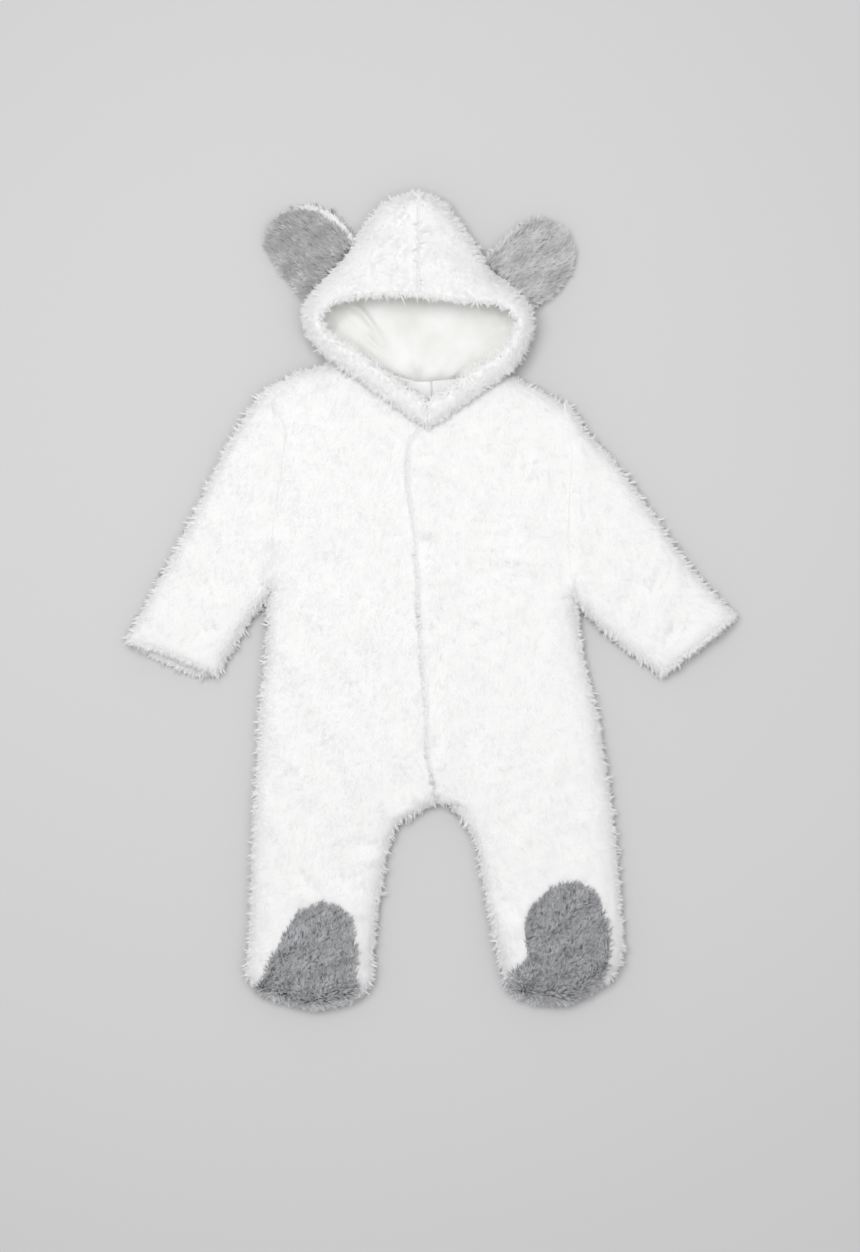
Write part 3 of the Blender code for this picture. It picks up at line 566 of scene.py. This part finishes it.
def grow_pile(name, piece, pile, comb, material, grows_at):
    """Tufts of fibres over a piece's outer faces, lying the way they are combed."""
    corners, normals = outer_triangles(piece, grows_at)
    area = triangle_areas(corners).sum()
    middle, up = scattered(corners, normals, int(area * pile.locks / pile.tuft))
    up = level_at_seams(middle, up)
    shape, own, facing = lock_shapes(middle, up, pile, comb)
    count, points = shape.shape[:2]
    # How steep the cloth is under each lock: there the pile is painted lighter, against the shade
    # on a steep rim.
    rim = 1 - up[own][:, 2].clip(0, 1)
    cloth_tone = TONES.get(name, PLAIN_TONE) + smooth_noise(middle, 18, 9) * CLOTH_TONES
    tuft_tone = cloth_tone + DRAW.normal(0, TUFT_TONES, len(middle))
    tone = (tuft_tone[own] + rim * RIM_PAINTED_LIGHT + DRAW.normal(0, LOCK_TONES, count)).clip(0.03, 0.97)

    # Each lock is a quad up to its bend and a triangle beyond it, or one triangle. On its map
    # it stands at its tone, with its roots at the bottom and its tip at the top.
    faces = ((0, 1, 3, 2), (2, 3, 4)) if pile.bends else ((0, 1, 2),)
    corner = np.concatenate(faces)
    bend = (BENDS_AT, BENDS_AT) if pile.bends else ()
    height = np.array((MAP_ROOT, MAP_ROOT, *bend, MAP_TIP))
    beside = np.array((-1, 1, -1, 1, 0) if pile.bends else (-1, 1, 0)) * MAP_HALF_WIDTH
    mesh = bpy.data.meshes.new(name)
    mesh.vertices.add(count * points)
    mesh.vertices.foreach_set("co", (shape * MM).ravel())
    mesh.loops.add(count * len(corner))
    mesh.loops.foreach_set("vertex_index", ((np.arange(count) * points)[:, None] + corner).ravel())
    mesh.polygons.add(count * len(faces))
    face_starts = np.array([0, len(faces[0])][: len(faces)])
    starts = (np.arange(count) * len(corner))[:, None] + face_starts
    mesh.polygons.foreach_set("loop_start", starts.ravel())
    mesh.update()
    u = tone[:, None] + beside[corner]
    # On a steep rim the roots are painted paler: painted light.
    v = height[corner] + rim[:, None] * RIM_ROOTS_PAINTED_LIGHT * (1 - height[corner])
    chart = mesh.uv_layers.new(name="OFBake")
    chart.data.foreach_set("uv", np.stack([u, v], 2).ravel())
    mesh.polygons.foreach_set("use_smooth", np.ones(count * len(faces), bool))
    mesh.normals_split_custom_set_from_vertices(np.repeat(facing, points, axis=0))
    mesh.materials.append(material)
    obj = bpy.data.objects.new(name, mesh)
    bpy.context.scene.collection.objects.link(obj)
    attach(obj, "root")
    return obj


def combed(x, y, spread=0.0):
    """Combed one way, spreading to both sides, and over any free edge or seam that is near.

    The left front's pile falls over its free edge, and the right front's leans towards it."""
    over_lap = (-0.9 if x > 0 else 0.2, -0.6)
    near_lines = [(LAP_EDGE, over_lap, LAP_WIDTH)]
    near_lines += [(seam, over_seam, SEAM_WIDTH) for seam, over_seam in HIDDEN_SEAMS]

    def comb(points):
        sideways = x + spread * (points[:, 0] + 10) / 100
        way = np.stack([sideways, np.full(len(points), y), np.zeros(len(points))], 1)
        for line, over, width in near_lines:
            away, _ = line_distance(points, line)
            near = np.exp(-((away / width) ** 2))[:, None]
            way = way * (1 - near) + np.array([*over, 0.0]) * near
        return way

    return comb


# --- the suit -----------------------------------------------------------------------------


def settle(piece, underside=False):
    """Adds the dense foot of its pile to a piece, and gives it creases and slight unevenness.

    Both walls of the upper layer move together. The ground of the underside rises a little,
    because its flattened pile is what rests on the table."""
    points = points_of(piece)
    normals = np.empty(len(points) * 3)
    piece.data.vertices.foreach_get("normal", normals)
    depth = HOOD_FOOT_DEPTH if piece.name.startswith("hood") else FOOT_DEPTH
    points = points + normals.reshape(-1, 3) * depth
    upper = rising(points[:, 2], *UPPER_BEGINS)
    uneven = smooth_noise(points, LUMP_SIZE, 3) * LUMPS
    uneven += smooth_noise(points, LUMP_SIZE / 3, 4) * LUMPS / 3
    dips = sum(
        STUD_DEPTH * np.exp(-(((points[:, 0] - x) ** 2 + (points[:, 1] - y) ** 2) / STUD_WIDTH**2))
        for x, y in STUDS
    )
    lower = 1 - rising(points[:, 2], *LOWER_ENDS)
    points[:, 2] += upper * (uneven - dips - pressed(points, CREASES) * CREASE_STRENGTH)
    if piece.name.startswith("front_left"):
        away, _ = line_distance(points, LAP_EDGE)
        near = np.exp(-((away / LAP_WIDTH) ** 2))
        points[:, 2] -= rising(points[:, 2], *LAP_BEGINS) * LAP_THINNED * near
    if underside:
        points[:, 2] += lower * pressed(points, BACK_CREASES)
    points[:, 2] += lower * PILE_BELOW
    move_points(piece, points)


def crumple_lining(piece):
    """Folds the loose lining where it lies in the hood, and carries its edge to the nape."""
    points = points_of(piece)
    lower = 1 - rising(points[:, 2], *LINING_ENDS)
    folds = pressed(points, LINING_FOLDS) * FOLD_STRENGTH
    points[:, 2] -= lower * folds.clip(None, FOLD_DEEPEST)
    points[:, 2] += lower * PILE_BELOW + smooth_noise(points, CRUMPLE_SIZE, 11) * CRUMPLE
    at_nape = np.abs(points[:, 0] - NAPE_MIDDLE) < NAPE_REACH
    nape = lower * (1 - rising(points[:, 1], *NAPE_ENDS)) * at_nape
    points[:, 1] -= nape * NAPE_CARRIED
    move_points(piece, points)


def lift_label(piece):
    """The label lies on the pile below it, and is held only along its upper edge."""
    points = points_of(piece)
    points[:, 2] += LABEL_LIFTED + (LABEL_SEAM - points[:, 1]) / LABEL_LONG * LABEL_RISE
    move_points(piece, points)


GREY = (
    "foot_top_right", "foot_top_left", "sole_right", "sole_left",
    "ear_front_right", "ear_front_left",
)
COMBED = {
    "front_right": combed(-0.05, -1, 0.6), "front_left": combed(0.05, -1, 0.6),
    "back": combed(0, -1),
    "sleeve_right": combed(-0.75, -0.7), "sleeve_left": combed(0.75, -0.7),
    "hood_right": combed(0, -1, 0.9), "hood_left": combed(0, -1, 0.9),
    "ear_front_right": combed(-0.85, 0.5), "ear_front_left": combed(0.8, 0.55),
    "ear_back_right": combed(-0.6, 0.8), "ear_back_left": combed(0.7, 0.7),
    "foot_top_right": combed(0.4, 1), "foot_top_left": combed(0.4, 1),
    "sole_right": combed(0, -1), "sole_left": combed(0, -1),
}

cloths = {}
for name in COMBED:
    cloths[name] = cloth_from(name + "_cloth", name)
    settle(cloths[name], name == "back")
    cloths[name].data.materials.append(grey_ground if name in GREY else white_ground)

lining = cloth_from("hood_lining_cloth", "hood_lining", levels=3)
crumple_lining(lining)
lining.data.materials.append(lining_cotton)
label = cloth_from("label_tape", "label")
lift_label(label)
label.data.materials.append(label_tape)

suit = joined_tree([*cloths.values(), lining, label])
from_above, from_below = open_to(1, suit), open_to(-1, suit)


def only_below(centre, normal):
    """The underside of the suit, apart from what shows from above as well."""
    return from_below(centre, normal) and not from_above(centre, normal)


def at_edge(centre, normal):
    """The steep outer edges of the suit, but not of the lapped front."""
    outer = centre.z < FRINGE_BELOW * MM or centre.y > HOOD_BEYOND * MM
    return abs(normal.z) < FRINGE_RISE and outer and from_above(centre, normal)


PILES = {"foot": FOOT_PILE, "ear_front": EAR_PILE, "ear_back": EAR_BACK_PILE, "hood": HOOD_PILE}
COLOURS = {"foot": foot_pile, "sole": sole_pile, "ear_front": ear_pile, "hood": lightened_white_pile}
grown = {name: [] for name in COMBED}
for name, comb in COMBED.items():
    pile = next((PILES[start] for start in PILES if name.startswith(start)), BODY_PILE)
    coloured = next((COLOURS[start] for start in COLOURS if name.startswith(start)), white_pile)
    cloth = cloths[name]
    if name not in ("back", "sole_right", "sole_left"):
        grown[name].append(grow_pile(name + "_pile", cloth, pile, comb, coloured, from_above))
    if name not in ("front_right", "front_left", "ear_front_right", "ear_front_left"):
        under = grow_pile(name + "_under_pile", cloth, UNDER_PILE, comb, coloured, only_below)
        grown[name].append(under)
# The fringe along the steep edges and the pile at the nape take the lighter white pile: painted
# light against the shade that falls there.
FRINGED = ("front_right", "front_left", "sleeve_right", "sleeve_left", "hood_right", "hood_left")
for name in FRINGED:
    cloth, comb = cloths[name], COMBED[name]
    fringe = grow_pile(name + "_fringe", cloth, FRINGE_PILE, comb, lightened_white_pile, at_edge)
    grown[name].append(fringe)
nape = grow_pile("nape_pile", cloths["back"], NAPE_PILE, COMBED["back"], lightened_white_pile, from_above)
grown["back"].append(nape)

cloths["hood_lining"], cloths["label"] = lining, label


# --- table, light and camera --------------------------------------------------------------

bpy.ops.object.select_all(action="DESELECT")
bpy.ops.mesh.primitive_plane_add(size=14, location=(0, 0, -0.0005))
table = bpy.context.object
table.name = "table_top"
paper, _, paper_shader = new_material("Pale paper", 0.85, 0.0)
paper_shader.inputs["Base Color"].default_value = (0.645, 0.645, 0.65, 1)
table.data.materials.append(paper)


def soft_box(name, size, place, power, spread):
    light = bpy.data.lights.new(name, "AREA")
    light.spread = math.radians(spread)
    light.shape = "RECTANGLE"
    light.size, light.size_y = size
    light.energy = power
    lamp = bpy.data.objects.new(name, light)
    lamp.location = place
    lamp.rotation_euler = (-Vector(place)).to_track_quat("-Z", "Y").to_euler()
    bpy.context.scene.collection.objects.link(lamp)


soft_box("upper soft box", (1.6, 1.2), (-0.42, 0.45, 2.2), 16.1, 130)
soft_box("side soft box", (1.6, 1.2), (0.8, -0.2, 2.3), 7.6, 180)
world = bpy.data.worlds.new("Studio")
world.use_nodes = True
world.node_tree.nodes["Background"].inputs["Color"].default_value = (1, 1, 1, 1)
world.node_tree.nodes["Background"].inputs["Strength"].default_value = 0.43
bpy.context.scene.world = world

# The camera, in metres: what it looks down on, from how high, and how long a strip it sees.
# Then the size of its sensor, in millimetres.
VIEW_CENTRE, VIEW_HEIGHT, VIEW_LONG = (-0.0009, -0.0237), 3.2, 1.164
SENSOR = 36
lens = bpy.data.cameras.new("camera")
lens.lens = SENSOR * VIEW_HEIGHT / VIEW_LONG
lens.sensor_width = SENSOR
lens.clip_end = 50
camera = bpy.data.objects.new("camera", lens)
camera.location = (*VIEW_CENTRE, VIEW_HEIGHT)
bpy.context.scene.collection.objects.link(camera)
bpy.context.scene.camera = camera
bpy.context.scene.view_settings.view_transform = "Standard"
